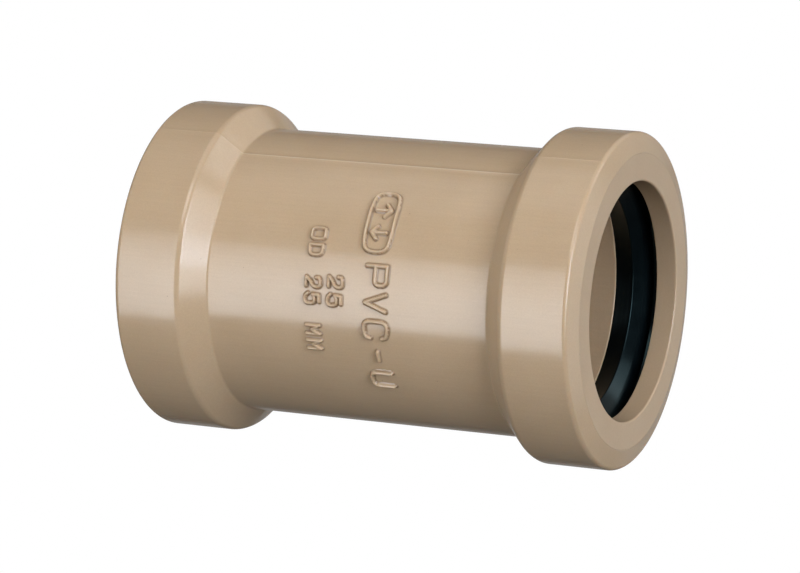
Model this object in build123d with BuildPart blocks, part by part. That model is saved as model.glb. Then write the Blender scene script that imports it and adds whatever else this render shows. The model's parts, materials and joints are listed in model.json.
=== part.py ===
# Slip (repair) coupling for 25 mm push-fit PVC pressure pipe.
# One straight moulding with a bell at each end. Each bell holds a rubber lip seal behind a
# retaining ring that is set flush into the mouth. The bore runs straight through with no stop,
# so that the coupling can slide right over a pipe.
# Millimetres. X runs along the bore, Z is up, and the origin is the middle of the bore.
import os
from math import atan2, cos, degrees, hypot, radians, sin

from build123d import *

os.makedirs("parts", exist_ok=True)

# ---- pipe and bore -------------------------------------------------------------------------
pipe_d = 25.0            # outside diameter of the pipe that is pushed in
entry_clearance = 0.25   # on the radius, between the pipe and the bore
bore_r = pipe_d / 2 + entry_clearance

# ---- moulded body --------------------------------------------------------------------------
length = 53.0
half_length = length / 2
tube_wall = 2.7          # wall between the bells
tube_r = bore_r + tube_wall
bell_step = 2.5          # how far a bell stands out from the tube
bell_r = tube_r + bell_step
bell_length = 8.0        # end face to the start of the shoulder cone
shoulder_length = 2.35   # cone between a bell and the tube
rim_setback = 0.6        # how far the outer part of an end face slopes back
rim_fillet = 0.5
bell_fillet = 0.9        # edge between a bell and its shoulder cone
shoulder_fillet = 0.35   # inner corner between the cone and the tube

# ---- retaining ring and seal chamber -------------------------------------------------------
ring_thickness = 2.3
bell_wall = 2.25         # bell wall around the ring and the seal
chamber_r = bell_r - bell_wall
seal_length = 4.75       # along the bore, from the ring to the chamber's back wall
chamber_depth = ring_thickness + seal_length
mouth_fillet = 0.2
joint_chamfer = 0.12     # on the ring's outer front edge, seen as a fine line on the face

# ---- lip seal section, as steps from the bore and from the seal's front face -------------------
lip_squeeze = 0.55       # how far the lip stands inside the pipe's radius
lip_r = pipe_d / 2 - lip_squeeze
lip_at = 2.5             # from the seal's front face to the lip
lead_in_step = 0.9       # the lead-in cone starts this far outside the bore
lead_in_at = 1.1
front_step = 1.3         # inner edge of the seal's front face
heel_step = 0.1          # inner edge of the seal's back face
lip_fillet = 0.2

# ---- raised marks on the tube ----------------------------------------------------------------
mark_relief = 0.35
mark_root = 1.0          # depth of a mark's root below the tube's surface

# Strokes of each character on a grid GRID_WIDE by GRID_HIGH, first to last point of each line
GLYPHS = {
    "P": [[(0, 0), (0, 6), (2.8, 6), (4, 5), (4, 4), (2.8, 3), (0, 3)]],
    "V": [[(0, 6), (2, 0), (4, 6)]],
    "C": [[(4, 5), (3, 6), (1, 6), (0, 5), (0, 1), (1, 0), (3, 0), (4, 1)]],
    "-": [[(0.8, 3), (3.2, 3)]],
    "U": [[(0, 6), (0, 1), (1, 0), (3, 0), (4, 1), (4, 6)]],
    "2": [[(0, 5), (1, 6), (3, 6), (4, 5), (4, 4), (0, 0), (4, 0)]],
    "5": [[(4, 6), (0, 6), (0, 3.5), (3, 3.5), (4, 2.5), (4, 1), (3, 0), (0, 0)]],
    "O": [[(1, 0), (0, 1), (0, 5), (1, 6), (3, 6), (4, 5), (4, 1), (3, 0), (1, 0)]],
    "D": [[(0, 0), (0, 6), (2.5, 6), (4, 4.5), (4, 1.5), (2.5, 0), (0, 0)]],
    "M": [[(0, 0), (0, 6), (2, 2.5), (4, 6), (4, 0)]],
    # a frame round two opposite arrows: the coupling slides both ways
    "slide": [
        [(1, 0), (11, 0), (12, 1), (12, 5), (11, 6), (1, 6), (0, 5), (0, 1), (1, 0)],
        [(3.6, 1.3), (3.6, 4.7)],
        [(2.3, 3.4), (3.6, 4.7), (4.9, 3.4)],
        [(8.4, 1.3), (8.4, 4.7)],
        [(7.1, 2.6), (8.4, 1.3), (9.7, 2.6)],
    ],
}
GRID_HIGH = 6
GRID_WIDE = 4
WIDER_GRIDS = {"slide": 12}

# Each mark: characters, foot of the letters along X, their height, the width of one, the width of
# a raised line, pitch round the tube, angle of the first one's middle (up from the side facing -Y)
MARKS = [
    (["slide"], 1.25, 3.6, 6.7, 0.46, 0.0, 35.1),
    (["P", "V", "C", "-", "U"], 2.15, 2.8, 2.2, 0.46, 2.95, 14.0),
    (["2", "5"], -2.0, 1.8, 1.4, 0.38, 1.85, 9.8),
    (["O", "D", "", "2", "5", "", "M", "M"], -4.6, 1.85, 1.3, 0.38, 1.7, 28.1),
]


def circles(part, x, r):
    """The circular edges of radius r at a distance x on both sides of the middle."""
    return part.edges().filter_by(
        lambda e: e.geom_type == GeomType.CIRCLE
        and abs(e.radius - r) < 1e-4
        and abs(abs(e.arc_center.X) - x) < 1e-4
    )


def mark_plane(foot_x, angle):
    """Plane under the tube's surface: letters stand towards +X and read downwards."""
    a = radians(angle)
    outward = Vector(0, -cos(a), sin(a))
    return Plane(
        origin=Vector(foot_x, 0, 0) + outward * (tube_r - mark_root),
        x_dir=(0, -sin(a), -cos(a)),
        z_dir=outward,
    )


def raised_glyph(name, foot_x, height, width, stroke, angle):
    """One character, with its top following the tube's curve."""
    grid_wide = WIDER_GRIDS.get(name, GRID_WIDE)
    sx, sy = (width - stroke) / grid_wide, (height - stroke) / GRID_HIGH
    with BuildSketch(mark_plane(foot_x + stroke / 2, angle)) as glyph:
        for line in GLYPHS[name]:
            points = [((x - grid_wide / 2) * sx, y * sy) for x, y in line]
            for (x0, y0), (x1, y1) in zip(points, points[1:]):
                with Locations(((x0 + x1) / 2, (y0 + y1) / 2)):
                    SlotCenterToCenter(
                        hypot(x1 - x0, y1 - y0),
                        stroke,
                        rotation=degrees(atan2(y1 - y0, x1 - x0)),
                    )
    prism = extrude(glyph.sketch, amount=mark_root + 2 * mark_relief, mode=Mode.PRIVATE)
    skin = Cylinder(tube_r + mark_relief, length, rotation=(0, 90, 0), mode=Mode.PRIVATE)
    return prism & skin


with BuildPart() as coupling_body:
    chamber_back = half_length - chamber_depth
    shoulder_top = half_length - bell_length
    with BuildSketch(Plane.XZ):
        with BuildLine():
            Polyline(
                (0, bore_r),
                (chamber_back, bore_r),
                (chamber_back, chamber_r),
                (half_length, chamber_r),
                (half_length - rim_setback, bell_r),
                (shoulder_top, bell_r),
                (shoulder_top - shoulder_length, tube_r),
                (0, tube_r),
                close=True,
            )
        make_face()
    revolve(axis=Axis.X)
    mirror(about=Plane.YZ)
    fillet(circles(coupling_body.part, half_length - rim_setback, bell_r), rim_fillet)
    fillet(circles(coupling_body.part, shoulder_top, bell_r), bell_fillet)
    fillet(circles(coupling_body.part, shoulder_top - shoulder_length, tube_r), shoulder_fillet)
    for characters, foot_x, height, width, stroke, pitch, first_angle in MARKS:
        for i, name in enumerate(characters):
            if name:
                angle = first_angle - degrees(i * pitch / tube_r)
                add(raised_glyph(name, foot_x, height, width, stroke, angle))
coupling_body.part.label = "coupling_body"
export_step(coupling_body.part, "parts/coupling_body.step")


with BuildPart() as retaining_ring_right:
    with BuildSketch(Plane.YZ.offset(half_length - ring_thickness)):
        Circle(chamber_r)
        Circle(bore_r, mode=Mode.SUBTRACT)
    extrude(amount=ring_thickness)
    fillet(circles(retaining_ring_right.part, half_length, bore_r), mouth_fillet)
    chamfer(circles(retaining_ring_right.part, half_length, chamber_r), joint_chamfer)
retaining_ring_right.part.label = "retaining_ring_right"
export_step(retaining_ring_right.part, "parts/retaining_ring_right.step")

with BuildPart() as retaining_ring_left:
    mirror(retaining_ring_right.part, about=Plane.YZ)
retaining_ring_left.part.label = "retaining_ring_left"
export_step(retaining_ring_left.part, "parts/retaining_ring_left.step")

with BuildPart() as seal_ring_right:
    seal_front = half_length - ring_thickness
    with BuildSketch(Plane.XZ) as section:
        with BuildLine():
            Polyline(
                (seal_front, chamber_r),
                (seal_front, bore_r + front_step),
                (seal_front - lead_in_at, bore_r + lead_in_step),
                (seal_front - lip_at, lip_r),
                (seal_front - seal_length, bore_r + heel_step),
                (seal_front - seal_length, chamber_r),
                close=True,
            )
        make_face()
        fillet(section.vertices().sort_by(Axis.Y)[0], lip_fillet)
    revolve(axis=Axis.X)
seal_ring_right.part.label = "seal_ring_right"
export_step(seal_ring_right.part, "parts/seal_ring_right.step")

with BuildPart() as seal_ring_left:
    mirror(seal_ring_right.part, about=Plane.YZ)
seal_ring_left.part.label = "seal_ring_left"
export_step(seal_ring_left.part, "parts/seal_ring_left.step")
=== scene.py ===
import json
from math import ceil, cos, pi, radians, sin, tan

import bpy
import numpy as np
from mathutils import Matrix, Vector


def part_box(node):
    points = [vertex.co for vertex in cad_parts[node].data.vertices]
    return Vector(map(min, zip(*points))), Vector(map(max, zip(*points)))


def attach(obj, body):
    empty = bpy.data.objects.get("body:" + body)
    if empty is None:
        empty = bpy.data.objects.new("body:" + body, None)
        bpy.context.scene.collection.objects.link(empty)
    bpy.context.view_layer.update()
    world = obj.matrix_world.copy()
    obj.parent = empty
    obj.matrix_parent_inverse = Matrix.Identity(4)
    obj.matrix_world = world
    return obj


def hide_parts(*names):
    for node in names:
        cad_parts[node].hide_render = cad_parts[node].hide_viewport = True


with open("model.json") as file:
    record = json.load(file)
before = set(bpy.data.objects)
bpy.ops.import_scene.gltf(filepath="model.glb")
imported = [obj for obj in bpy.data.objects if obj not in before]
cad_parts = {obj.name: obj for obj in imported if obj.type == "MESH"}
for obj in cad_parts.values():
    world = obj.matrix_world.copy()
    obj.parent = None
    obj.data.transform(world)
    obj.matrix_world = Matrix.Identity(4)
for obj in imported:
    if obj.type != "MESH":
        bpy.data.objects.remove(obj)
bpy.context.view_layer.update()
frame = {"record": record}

MM = 0.001

# ---- sizes, from the frame -------------------------------------------------------------------
SOCKETS = {m["name"]: m for m in frame["record"]["mounts"]}
BODY_LOW, BODY_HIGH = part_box("coupling_body")
RING_LOW, RING_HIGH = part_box("retaining_ring_right")
SEAL_LOW, SEAL_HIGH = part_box("seal_ring_right")

HALF_LENGTH = BODY_HIGH.x
BELL_R = BODY_HIGH.z
BORE_R = SOCKETS["pipe_socket_right"]["dims"]["r_mm"] * MM
CHAMBER_R = RING_HIGH.z
RING_BACK = RING_LOW.x
SEAL_FRONT = SEAL_HIGH.x
CHAMBER_BACK = SEAL_LOW.x

BELL_STEP = 2.5 * MM                     # how far a bell stands out from the tube
BELL_LENGTH = 8.0 * MM                   # end face to the start of the shoulder cone
SHOULDER_LENGTH = 2.35 * MM
RIM_SETBACK = 0.6 * MM                   # how far the outer part of an end face slopes back
TUBE_R = BELL_R - BELL_STEP
SHOULDER_TOP = HALF_LENGTH - BELL_LENGTH
SHOULDER_FOOT = SHOULDER_TOP - SHOULDER_LENGTH

# ---- corners: radius and number of segments ------------------------------------------------------
SQUARE = (0, 0)
FOOT_ROUND = (0.35 * MM, 5)              # between the shoulder cone and the tube
BELL_ROUND = (0.9 * MM, 10)              # between a bell and its shoulder cone
RIM_ROUND = (0.5 * MM, 8)
JOINT_ROUND = (0.03 * MM, 2)             # both sides of the fine line round the end face
BORE_ROUND = (0.12 * MM, 4)              # where the bore opens into a seal chamber
MOUTH_ROUND = (0.2 * MM, 7)
RING_BACK_ROUND = (0.1 * MM, 3)
RING_BORE_ROUND = (0.06 * MM, 3)
LIP_ROUND = (0.14 * MM, 6)
HOLD = 0.05 * MM                         # a row this far from each rounded corner keeps flats flat

SAME = 0.0001 * MM                       # points nearer than this are one point
CLOSE = 0.001 * MM                       # tolerance after turning and merging
SMOOTH_UP_TO = 32                        # degrees between faces; sharper edges stay sharp

# ---- columns round the bore ------------------------------------------------------------------------
MARK_COLUMNS = 300
PARTING_COLUMNS = 6
RING_COLUMNS = 288
PLAIN_COLUMN = 2.2                       # degrees at most, where nothing is raised

# ---- lip seal's section, from the bore and from the seal's front face ------------------------------
FRONT_STEP = 1.5 * MM                    # inner edge of the front face, out from the bore
LEAD_IN_AT = 0.77 * MM                   # the lead-in cone starts this far behind the front face
LEAD_IN_STEP = 1.3 * MM                  # and this far out from the bore
LIP_AT = 2.5 * MM                        # the ridge's place behind the front face
LIP_STEP = 0.8 * MM                      # and how far it stands inside the bore's radius
HEEL_STEP = 0.1 * MM                     # inner edge of the back face

# ---- raised marks and parting line ---------------------------------------------------------------
RELIEF = 0.42 * MM
CROWN = 0.6                              # of a stroke's top: 1 is a parabola, and less is flatter
FOOT_TOP = 0.55                          # a stroke's foot ends at this share of its relief
FOOT_WIDE = 0.10 * MM                    # width of the painted shade that lies along the foot of each stroke
MARK_ZONES = ((-4.9 * MM, 0.1 * MM), (0.95 * MM, 5.35 * MM))   # along X
MARK_STEP = 0.08 * MM                    # between rows of points in a zone
MARK_ANGLES = (52.0, -42.0)              # up from the side facing -Y
PARTING_ANGLE = 64.2                     # the mould's two halves meet here and opposite
PARTING_HALF = 0.36                      # degrees either side of it with finer columns
PARTING_RISE = 0.02 * MM
PARTING_WIDE = 0.085 * MM
PALE_CORE = 0.02 * MM                    # half width of the painted highlight along it, at full strength
PALE_WIDE = 0.09 * MM                    # and of the whole of it, with its fading edge
PALE_ON_BELLS = 0.06                     # the share of it that is left past the shoulders' feet
PALE_END = 0.3 * MM                      # and how far along X it takes to fade to that

# Each character is drawn on a grid GRID_WIDE by GRID_HIGH: straight strokes, then curved ones
GLYPHS = {
    "P": ([[(0, 0), (0, 6)]], [[(0, 6), (2, 6), (4.6, 6), (4.6, 2.6), (2, 2.6), (0, 2.6)]]),
    "V": ([[(0, 6), (2, 0), (4, 6)]], []),
    "C": ([], [[(4, 4.7), (3.6, 6.2), (0, 6.6), (-0.3, 3), (0, -0.6), (3.6, -0.2), (4, 1.3)]]),
    "-": ([[(0.8, 3), (3.2, 3)]], []),
    "U": ([], [[(0, 6), (0, 3.6), (0, -0.1), (4, -0.1), (4, 3.6), (4, 6)]]),
    "2": ([[(0, 0), (4, 0)]], [[(0.1, 4.4), (0.2, 6.4), (4.3, 6.6), (4.2, 3.2), (1.4, 1.8), (0, 0)]]),
    "5": ([[(3.7, 6), (0.6, 6), (0.3, 3.2)]],
          [[(0.3, 3.2), (1.6, 4.2), (4.4, 4.0), (4.5, -0.3), (1.2, -0.4), (0, 1.0)]]),
    "O": ([], [[(2, 6), (4.6, 6), (4.6, 0), (2, 0), (-0.6, 0), (-0.6, 6), (2, 6)]]),
    "D": ([[(0, 0), (0, 6)]], [[(0, 6), (1.4, 6), (4.6, 5.6), (4.6, 0.4), (1.4, 0), (0, 0)]]),
    "M": ([[(0, 0), (0, 6), (2, 2.4), (4, 6), (4, 0)]], []),
    "slide": (
        [[(3.6, 1.3), (3.6, 4.7)], [(2.3, 3.4), (3.6, 4.7), (4.9, 3.4)],
         [(8.4, 1.3), (8.4, 4.7)], [(7.1, 2.6), (8.4, 1.3), (9.7, 2.6)]],
        [[(6, 6), (9.6, 6), (12.4, 5.4), (12.4, 0.6), (9.6, 0), (6, 0),
          (2.4, 0), (-0.4, 0.6), (-0.4, 5.4), (2.4, 6), (6, 6)]],
    ),
}
GRID_WIDE, GRID_HIGH = 4.0, 6.0
WIDER_GRIDS = {"slide": 12.0}

# characters, foot along X, height, width of one, stroke, pitch round the tube, first angle
MARKS = [
    (["slide"], 1.3, 3.5, 6.8, 0.48, 0.0, 35.1),
    (["P", "V", "C", "-", "U"], 2.15, 2.85, 2.25, 0.50, 2.95, 14.0),
    (["2", "5"], -2.05, 1.9, 1.45, 0.42, 1.85, 9.8),
    (["O", "D", "", "2", "5", "", "M", "M"], -4.65, 1.95, 1.35, 0.42, 1.7, 28.1),
]


# ---- modelling helpers ---------------------------------------------------------------------------
def pick(piece, test):
    """Selects the vertices that pass the test, and nothing else."""
    bpy.ops.mesh.select_all(action="DESELECT")
    bpy.ops.object.mode_set(mode="OBJECT")
    for v in piece.data.vertices:
        v.select = test(v.co)
    bpy.ops.object.mode_set(mode="EDIT")


def held_points(corners):
    """The section's points in order, with a point close to each side of every rounded corner."""
    points, rounds = [], []
    for i, (x, r, radius, segments) in enumerate(corners):
        here = Vector((x, r))
        if not radius:
            points.append((x, r))
            continue
        back = (Vector(corners[i - 1][:2]) - here).normalized()
        ahead = (Vector(corners[(i + 1) % len(corners)][:2]) - here).normalized()
        cut = radius * tan((pi - back.angle(ahead)) / 2)
        points += [tuple(here + back * (cut + HOLD)), (x, r), tuple(here + ahead * (cut + HOLD))]
        rounds.append((x, r, cut, segments))
    return points, rounds


def draw_section(name, corners):
    """Draws a closed section in the XZ plane and rounds it: (x, r, corner radius, segments)."""
    points, rounds = held_points(corners)
    bpy.ops.object.select_all(action="DESELECT")
    bpy.ops.mesh.primitive_plane_add(size=MM, location=(0, 0, 0))
    piece = bpy.context.object
    piece.name = piece.data.name = name
    bpy.ops.object.mode_set(mode="EDIT")
    bpy.context.tool_settings.mesh_select_mode = (True, False, False)
    bpy.ops.mesh.select_all(action="SELECT")
    bpy.ops.mesh.merge(type="CENTER")
    x, r = points[0]
    bpy.ops.transform.translate(value=(x, 0, r))
    for nx, nr in points[1:]:
        bpy.ops.mesh.extrude_region_move(TRANSFORM_OT_translate={"value": (nx - x, 0, nr - r)})
        x, r = nx, nr
    ends = [Vector((x, 0, r)) for x, r in (points[0], points[-1])]
    pick(piece, lambda co: min((co - end).length for end in ends) < SAME)
    bpy.ops.mesh.edge_face_add()
    for x, r, cut, segments in rounds:
        at = Vector((x, 0, r))
        pick(piece, lambda co: (co - at).length < SAME)
        bpy.ops.mesh.bevel(offset=cut, segments=segments, affect="VERTICES", clamp_overlap=False)
    return piece


def spin_section(piece, sectors):
    """Turns the section round the bore: (steps, degrees) for each sector in turn."""
    bpy.ops.mesh.select_all(action="SELECT")
    for steps, angle in sectors:
        bpy.ops.mesh.spin(steps=steps, angle=radians(angle), center=(0, 0, 0), axis=(-1, 0, 0))
    bpy.ops.mesh.select_all(action="SELECT")
    bpy.ops.mesh.remove_doubles(threshold=CLOSE)
    bpy.ops.mesh.normals_make_consistent(inside=False)
    bpy.ops.object.mode_set(mode="OBJECT")
    bpy.ops.object.shade_smooth_by_angle(angle=radians(SMOOTH_UP_TO))


# ---- moulded body ----------------------------------------------------------------------------------
def plain(angle):
    """(steps, degrees) for a sector where nothing is raised."""
    return ceil(angle / PLAIN_COLUMN), angle


def make_body():
    """The body's section runs from the tube's middle along the outside, then back up the bore."""
    right = [
        (SHOULDER_FOOT, TUBE_R, *FOOT_ROUND),
        (SHOULDER_TOP, BELL_R, *BELL_ROUND),
        (HALF_LENGTH - RIM_SETBACK, BELL_R, *RIM_ROUND),
        (HALF_LENGTH, CHAMBER_R, *JOINT_ROUND),
        (CHAMBER_BACK, CHAMBER_R, *SQUARE),
        (CHAMBER_BACK, BORE_R, *BORE_ROUND),
    ]
    left = [(-x, r, radius, segments) for x, r, radius, segments in reversed(right)]
    marks = [(x, TUBE_R, *SQUARE) for zone in MARK_ZONES for x in zone]
    piece = draw_section("body_moulding", marks + right + left)
    for low, high in MARK_ZONES:
        pick(piece, lambda co: low - SAME < co.x < high + SAME and abs(co.z - TUBE_R) < SAME)
        bpy.ops.mesh.subdivide(number_cuts=round((high - low) / MARK_STEP) - 1)
    top, bottom = MARK_ANGLES
    seam, near = PARTING_ANGLE, PARTING_HALF
    parting = (PARTING_COLUMNS, 2 * near)
    spin_section(piece, [
        plain(90 - seam - near), parting, plain(seam - near - top),
        (MARK_COLUMNS, top - bottom),
        plain(bottom - seam + 180 - near), parting, plain(90 + seam - near),
    ])
    return piece


def curve_points(control, rounds=4):
    """A smooth line through a row of control points, by cutting corners."""
    points = [np.array(p, float) for p in control]
    for _ in range(rounds):
        cut = [points[0]]
        for a, b in zip(points, points[1:]):
            cut += [0.75 * a + 0.25 * b, 0.25 * a + 0.75 * b]
        points = cut + [points[-1]]
    return points


def mark_strokes():
    """Every stroke on the tube as (x0, u0, x1, u1, half width), u running up round the tube."""
    strokes = []
    for characters, foot, height, width, stroke, pitch, first in MARKS:
        for i, name in enumerate(characters):
            if not name:
                continue
            straight, curved = GLYPHS[name]
            wide = WIDER_GRIDS.get(name, GRID_WIDE)
            sx, sy = (width - stroke) / wide, (height - stroke) / GRID_HIGH
            middle = radians(first) * TUBE_R / MM - i * pitch
            for line in [*straight, *map(curve_points, curved)]:
                at = [(foot + stroke / 2 + y * sy, middle - (x - wide / 2) * sx) for x, y in line]
                strokes += [(*a, *b, stroke / 2) for a, b in zip(at, at[1:])]
    return np.array(strokes) * MM


def raise_surface(piece):
    """Lifts the outside along the strokes and the parting line, with soft edges as moulding leaves.
    Two point attributes tell the material where to paint shade along the strokes' feet and a highlight along
    the parting line."""
    mesh = piece.data
    co = np.empty(len(mesh.vertices) * 3)
    mesh.vertices.foreach_get("co", co)
    co = co.reshape(-1, 3)
    r = np.hypot(co[:, 1], co[:, 2])
    angle = np.degrees(np.arctan2(co[:, 2], -co[:, 1]))
    rise = np.zeros(len(r))

    zone = np.any([(co[:, 0] > low) & (co[:, 0] < high) for low, high in MARK_ZONES], axis=0)
    on = zone & (np.abs(r - TUBE_R) < CLOSE) & (angle < MARK_ANGLES[0]) & (angle > MARK_ANGLES[1])
    x, u = co[on, 0], np.radians(angle[on]) * TUBE_R
    lift, foot = np.zeros(len(x)), np.zeros(len(x))
    for x0, u0, x1, u1, half in mark_strokes():
        dx, du = x1 - x0, u1 - u0
        t = np.clip(((x - x0) * dx + (u - u0) * du) / max(dx * dx + du * du, 1e-12), 0, 1)
        away = np.hypot(x - x0 - t * dx, u - u0 - t * du)
        lift = np.maximum(lift, RELIEF * np.clip(1 - (away / half) ** 2, 0, 1) ** CROWN)
        foot = np.maximum(foot, np.exp(-((away - half) / FOOT_WIDE) ** 2))
    rise[on] = lift
    # painted shade: a dark fringe along each stroke's foot, where shade falls beside the raised marks
    foot_shade = np.zeros(len(r))
    foot_shade[on] = foot * (lift < FOOT_TOP * RELIEF)
    mesh.attributes.new("foot_shade", "FLOAT", "POINT").data.foreach_set("value", foot_shade)

    outside = (r > TUBE_R - CLOSE) & (np.abs(co[:, 0]) < HALF_LENGTH - RIM_SETBACK)
    past_foot = np.clip((np.abs(co[:, 0]) - SHOULDER_FOOT) / PALE_END, 0, 1)
    # painted highlight: a pale line along each parting ridge, mostly faded past the shoulders' feet
    parting = np.zeros(len(r))
    for seam in (PARTING_ANGLE, PARTING_ANGLE - 180):
        away = np.abs(np.radians(angle - seam)) * r
        ridge = PARTING_RISE * np.clip(1 - (away / PARTING_WIDE) ** 2, 0, 1)
        rise = np.where(outside, np.maximum(rise, ridge), rise)
        parting += np.clip((PALE_WIDE - away) / (PALE_WIDE - PALE_CORE), 0, 1)
    parting *= outside * (1 - (1 - PALE_ON_BELLS) * past_foot)
    mesh.attributes.new("parting", "FLOAT", "POINT").data.foreach_set("value", parting)

    co[:, 1:] *= ((r + rise) / r)[:, None]
    mesh.vertices.foreach_set("co", co.ravel())
    mesh.update()


# ---- retaining rings and seals -------------------------------------------------------------------------
def make_ring(name, side):
    """The flat ring that closes the seal's chamber, flush with the end face; side is 1 or -1."""
    corners = [
        (RING_BACK, BORE_R, *RING_BORE_ROUND),
        (HALF_LENGTH, BORE_R, *MOUTH_ROUND),
        (HALF_LENGTH, CHAMBER_R, *JOINT_ROUND),
        (RING_BACK, CHAMBER_R, *RING_BACK_ROUND),
    ]
    piece = draw_section(name, [(side * x, *rest) for x, *rest in corners])
    spin_section(piece, [(RING_COLUMNS, 360)])
    return piece


def make_seal(name, side):
    """A ring of rubber with one lip: a lead-in cone, the ridge that wipes the pipe, and its heel."""
    corners = [
        (SEAL_FRONT, CHAMBER_R, *SQUARE),
        (SEAL_FRONT, BORE_R + FRONT_STEP, *SQUARE),
        (SEAL_FRONT - LEAD_IN_AT, BORE_R + LEAD_IN_STEP, *SQUARE),
        (SEAL_FRONT - LIP_AT, BORE_R - LIP_STEP, *LIP_ROUND),
        (CHAMBER_BACK, BORE_R + HEEL_STEP, *SQUARE),
        (CHAMBER_BACK, CHAMBER_R, *SQUARE),
    ]
    piece = draw_section(name, [(side * x, *rest) for x, *rest in corners])
    spin_section(piece, [(RING_COLUMNS, 360)])
    return piece


body = make_body()
raise_surface(body)
PIECES = {"coupling_body": body}
for side, word in ((1, "right"), (-1, "left")):
    PIECES[f"retaining_ring_{word}"] = make_ring(f"mouth_ring_{word}", side)
    PIECES[f"seal_ring_{word}"] = make_seal(f"lip_seal_{word}", side)


# ---- materials -----------------------------------------------------------------------------------------
# Colours of each plastic, pale and dark, and of what is on it: specks, a painted highlight along the parting
# line and painted shade along the feet of the marks
MOULDED_PVC = ((0.494, 0.355, 0.222), (0.470, 0.335, 0.207))
RING_PVC = ((0.494, 0.357, 0.227), (0.470, 0.337, 0.212))
FILLER_SPECK = (0.12, 0.08, 0.05, 1)
# painted highlight along the parting line
PARTING_HIGHLIGHT = (0.72, 0.62, 0.50, 1)
# painted shade along the feet of the raised marks
FOOT_SHADE_COLOUR = (0.150, 0.085, 0.042, 1)
RUBBER_DARK, RUBBER_PALE = (0.0006, 0.0014, 0.0022, 1), (0.0016, 0.0030, 0.0040, 1)
RUBBER_TINT = (0.55, 0.95, 1.0, 1)       # of its reflections
MOULD_RINGS = 1260                       # scale of the wave that draws rings on the rubber
PARTING_SHOWS, FOOT_SHADE_SHOWS = 0.32, 0.62  # how far the painted highlight and the painted shade each cover the plastic, at most


class Shader:
    """A material whose detail is built from noise in object space, in metres."""

    def __init__(self, name):
        self.material = bpy.data.materials.new(name)
        self.material.use_nodes = True
        self.tree = self.material.node_tree
        self.bsdf = self.tree.nodes["Principled BSDF"]
        self.place = self.tree.nodes.new("ShaderNodeTexCoord").outputs["Object"]

    def node(self, kind, **inputs):
        """Adds a node, with an underscore in an input's name for each space."""
        made = self.tree.nodes.new("ShaderNode" + kind)
        for name, value in inputs.items():
            self.feed(made.inputs[name.replace("_", " ")], value)
        return made

    def feed(self, socket, value):
        """Links another node's output to the socket, or sets the socket to a plain value."""
        if isinstance(value, bpy.types.NodeSocket):
            self.tree.links.new(value, socket)
        else:
            socket.default_value = value

    def set(self, **inputs):
        """Feeds the surface shader's own sockets."""
        for name, value in inputs.items():
            self.feed(self.bsdf.inputs[name.replace("_", " ")], value)

    def attribute(self, name):
        """A value that the mesh carries at each vertex."""
        made = self.tree.nodes.new("ShaderNodeAttribute")
        made.attribute_name = name
        return made.outputs["Fac"]

    def noise(self, size, detail=2.0, stretch=None):
        """Noise with features about size metres across, and longer along X where stretched."""
        place = self.place
        if stretch:
            place = self.node("Mapping", Vector=place, Scale=(1 / stretch, 1, 1)).outputs["Vector"]
        return self.node("TexNoise", Vector=place, Scale=1 / size, Detail=detail).outputs["Fac"]

    def spread(self, value, low, high, start=0.3, end=0.7):
        """The value's range from start to end, mapped to low to high."""
        made = self.node("MapRange", Value=value)
        for name, number in (("From Min", start), ("From Max", end), ("To Min", low), ("To Max", high)):
            made.inputs[name].default_value = number
        return made.outputs["Result"]

    def blend(self, factor, low, high, mode="MIX"):
        """Mixes two colours. Sockets share names here, so the colour ones go by their numbers."""
        made = self.tree.nodes.new("ShaderNodeMix")
        made.data_type, made.blend_type = "RGBA", mode
        for index, value in ((0, factor), (6, low), (7, high)):
            self.feed(made.inputs[index], value)
        return made.outputs[2]

    def sum(self, *values):
        total = values[0]
        for value in values[1:]:
            made = self.tree.nodes.new("ShaderNodeMath")
            made.operation = "ADD"
            self.feed(made.inputs[0], total)
            self.feed(made.inputs[1], value)
            total = made.outputs["Value"]
        return total

    def bumps(self, *layers):
        """Stacks (height, depth in metres) layers of bump."""
        normal = None
        for height, depth in layers:
            made = self.node("Bump", Height=height, Distance=depth)
            made.inputs["Strength"].default_value = 1.0
            if normal:
                self.feed(made.inputs["Normal"], normal)
            normal = made.outputs["Normal"]
        self.set(Normal=normal)


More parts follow.
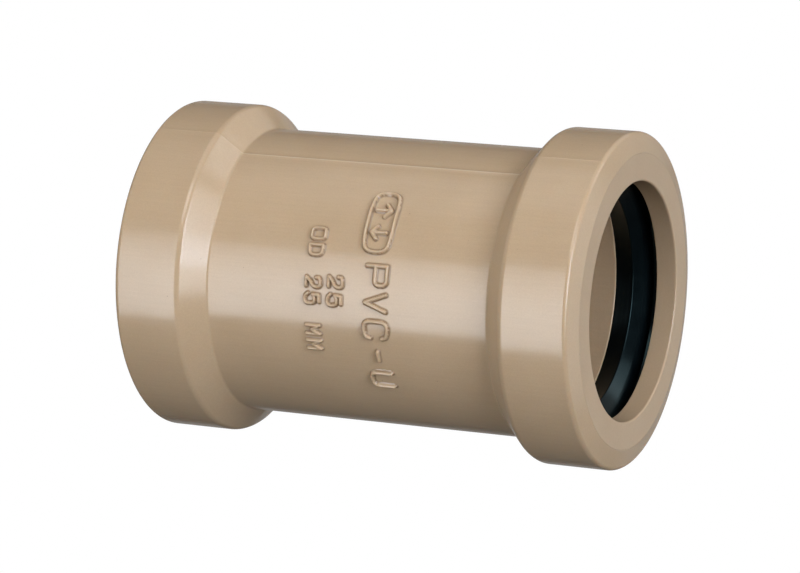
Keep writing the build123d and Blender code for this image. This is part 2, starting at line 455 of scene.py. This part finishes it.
def pvc_material(name, colours, rough, glow, moulded=False):
    """Brown PVC: soft mottling, fine grain and a few specks of filler. The moulded body also has
    faint lengthwise polish marks, a painted highlight along the parting line and painted shade along the feet
    of the raised marks."""
    pale, dark = colours
    pvc = Shader(name)
    mottle = pvc.spread(pvc.noise(7 * MM, 4), 0, 1)
    grain = pvc.noise(0.14 * MM, 3)
    colour = pvc.blend(mottle, (*dark, 1), (*pale, 1))
    shade = pvc.spread(grain, 0.965, 1.035)
    patches = pvc.spread(pvc.noise(3 * MM, 3), -0.02, 0.03)
    roughness = [rough, patches, pvc.spread(grain, -0.02, 0.02)]
    bumps = [(pvc.noise(9 * MM, 1), 0.006 * MM), (pvc.noise(0.9 * MM, 2), 0.0010 * MM)]
    if moulded:
        streak = pvc.noise(0.22 * MM, 2, stretch=30)
        shade = pvc.sum(shade, pvc.spread(streak, -0.016, 0.016))
        roughness.append(pvc.spread(streak, -0.012, 0.012))
        bumps.append((streak, 0.00015 * MM))
    bumps.append((grain, 0.0007 * MM))
    colour = pvc.blend(1.0, colour, shade, "MULTIPLY")
    speck = pvc.node("TexVoronoi", Vector=pvc.place, Scale=1 / (2.4 * MM))
    near = pvc.spread(speck.outputs["Distance"], 0.5, 0, 0.015, 0.03)
    colour = pvc.blend(near, colour, FILLER_SPECK)
    if moulded:
        # painted highlight along the parting line
        glint = pvc.spread(pvc.attribute("parting"), 0, PARTING_SHOWS, 0, 1)
        colour = pvc.blend(glint, colour, PARTING_HIGHLIGHT)
        # painted shade along the feet of the raised marks
        foot_shaded = pvc.spread(pvc.attribute("foot_shade"), 0, FOOT_SHADE_SHOWS, 0.05, 1)
        colour = pvc.blend(foot_shaded, colour, FOOT_SHADE_COLOUR)
    pvc.set(Base_Color=colour, IOR=1.54, Subsurface_Weight=glow,
            Subsurface_Radius=(1.0, 0.42, 0.18), Subsurface_Scale=0.9 * MM)
    pvc.set(Roughness=pvc.sum(*roughness))
    pvc.bumps(*bumps)
    return pvc.material


def rubber_material(name):
    """Black rubber with a cold tint, faint rings left by its mould and a fine dull grain."""
    rubber = Shader(name)
    bloom = rubber.spread(rubber.noise(2.5 * MM, 4), 0, 1)
    grain = rubber.noise(0.12 * MM, 3)
    rings = rubber.node("TexWave", Vector=rubber.place, Scale=MOULD_RINGS, Distortion=0.6)
    rings.wave_type, rings.rings_direction = "RINGS", "X"
    rubber.set(Base_Color=rubber.blend(bloom, RUBBER_DARK, RUBBER_PALE),
               IOR=1.5, Specular_IOR_Level=0.24, Specular_Tint=RUBBER_TINT)
    rubber.set(Roughness=rubber.sum(0.19, rubber.spread(bloom, 0, 0.05, 0, 1),
                                    rubber.spread(grain, -0.03, 0.03)))
    rubber.bumps((rings.outputs["Fac"], 0.0012 * MM), (grain, 0.0010 * MM))
    return rubber.material


body_pvc = pvc_material("brown_pvc_moulded", MOULDED_PVC, rough=0.19, glow=0.15, moulded=True)
ring_pvc = pvc_material("brown_pvc_ring", RING_PVC, rough=0.22, glow=0.10)
black_rubber = rubber_material("black_seal_rubber")
FINISH = {
    "coupling_body": ("moulded_pvc", body_pvc),
    "retaining_ring": ("ring_pvc", ring_pvc),
    "seal_ring": ("seal_rubber", black_rubber),
}
for node_name, piece in PIECES.items():
    slot, material = FINISH[node_name.removesuffix("_right").removesuffix("_left")]
    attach(piece, "root")
    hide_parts(node_name)
    piece.data.materials.clear()
    piece.data.materials.append(material)


# ---- floor and light -------------------------------------------------------------------------------
def stage_surface(piece, name):
    """A plain white surface that glows evenly and sends no light back to the coupling."""
    piece.name = name
    white = Shader(name)
    white.set(Base_Color=(0.0, 0.0, 0.0, 1), Roughness=1.0, Specular_IOR_Level=0.0,
              Emission_Color=(1, 1, 1, 1), Emission_Strength=1.0)
    piece.data.materials.append(white.material)
    piece.visible_diffuse = piece.visible_glossy = piece.visible_shadow = False


FLOOR_WIDE, BACKDROP_R = 6.0, 2.5        # the camera and every light are inside the backdrop
bpy.ops.object.select_all(action="DESELECT")
bpy.ops.mesh.primitive_plane_add(size=FLOOR_WIDE, location=(0, 0, BODY_LOW.z))
stage_surface(bpy.context.object, "floor")
bpy.ops.object.select_all(action="DESELECT")
bpy.ops.mesh.primitive_uv_sphere_add(segments=32, ring_count=16, radius=BACKDROP_R)
stage_surface(bpy.context.object, "backdrop")

ROOM_GLOW = 0.09                         # soft light from all round
world = bpy.data.worlds.new("studio")
bpy.context.scene.world = world
world.use_nodes = True
world.node_tree.nodes["Background"].inputs["Color"].default_value = (1, 1, 1, 1)
world.node_tree.nodes["Background"].inputs["Strength"].default_value = ROOM_GLOW


def softbox(name, azimuth, elevation, wide, high, bottom, top, colour=(1, 1, 1)):
    """An area light 1 m away that looks at the coupling; azimuth 0 is in front, on the -Y side.
    bottom and top are how bright its lower and upper edges are."""
    light = bpy.data.lights.new(name, "AREA")
    light.shape = "RECTANGLE"
    light.size, light.size_y = wide, high
    light.energy = wide * high * pi      # so that a brightness of 1 is the floor's
    light.color = colour
    light.use_nodes = True
    node, link = light.node_tree.nodes.new, light.node_tree.links.new
    axes = node("ShaderNodeSeparateXYZ")
    fade = node("ShaderNodeMapRange")
    fade.inputs["To Min"].default_value, fade.inputs["To Max"].default_value = bottom, top
    link(node("ShaderNodeNewGeometry").outputs["Parametric"], axes.inputs["Vector"])
    link(axes.outputs["Y"], fade.inputs["Value"])
    link(fade.outputs["Result"], light.node_tree.nodes["Emission"].inputs["Strength"])
    lamp = bpy.data.objects.new(name, light)
    a, e = radians(azimuth), radians(elevation)
    lamp.location = Vector((sin(a) * cos(e), -cos(a) * cos(e), sin(e)))
    lamp.rotation_euler = (pi / 2 - e, 0, a)
    bpy.context.scene.collection.objects.link(lamp)


COOL = (0.97, 1.0, 1.05)
COLDER = (0.93, 1.0, 1.12)
softbox("front_strip_low", -24, -11, 0.35, 0.50, 4.7, 4.9, COOL)
softbox("front_strip_high", -24, 15, 0.35, 0.42, 4.9, 2.2, COOL)
softbox("front_top", 5, 52, 0.5, 0.5, 3.5, 3.5)
softbox("overhead", 0, 88, 1.0, 0.7, 0.7, 0.7)
softbox("right_low", 59, -4, 0.30, 0.25, 4.0, 6.0, COOL)
softbox("right_edge", 50, 19, 0.12, 0.50, 15.0, 11.0, COLDER)
softbox("right_side", 63, 22, 0.24, 0.66, 10.5, 3.5, COLDER)
softbox("right_top", 77, 32, 0.28, 0.35, 2.6, 2.6, COOL)
softbox("right_rear", 116, 37, 0.50, 0.34, 2.3, 2.3, COOL)
softbox("right_back", 120, -5, 0.7, 0.6, 0.85, 0.85)
softbox("back", 160, -8, 0.5, 0.6, 0.22, 0.22)
softbox("back_top", 150, 40, 0.9, 0.6, 0.5, 0.5)
softbox("back_left", -155, -10, 1.0, 0.8, 0.22, 0.22)
softbox("left_side", -85, 8, 0.6, 0.6, 0.35, 0.35)

# ---- camera: it looks down at the side with the marks, from the right --------------------------------------
LENS, SENSOR = 168.7, 36                 # millimetres
CAMERA_AT = (0.16424, -0.36216, 0.08008)
CAMERA_DOWN, CAMERA_ROUND = 11.467, 24.477        # degrees
camera_data = bpy.data.cameras.new("camera")
camera_data.lens = LENS
camera_data.sensor_width = SENSOR
camera_data.clip_start = 10 * MM
camera = bpy.data.objects.new("camera", camera_data)
bpy.context.scene.collection.objects.link(camera)
camera.location = CAMERA_AT
camera.rotation_euler = (radians(90 - CAMERA_DOWN), 0, radians(CAMERA_ROUND))
bpy.context.scene.camera = camera
bpy.context.scene.view_settings.view_transform = "Standard"
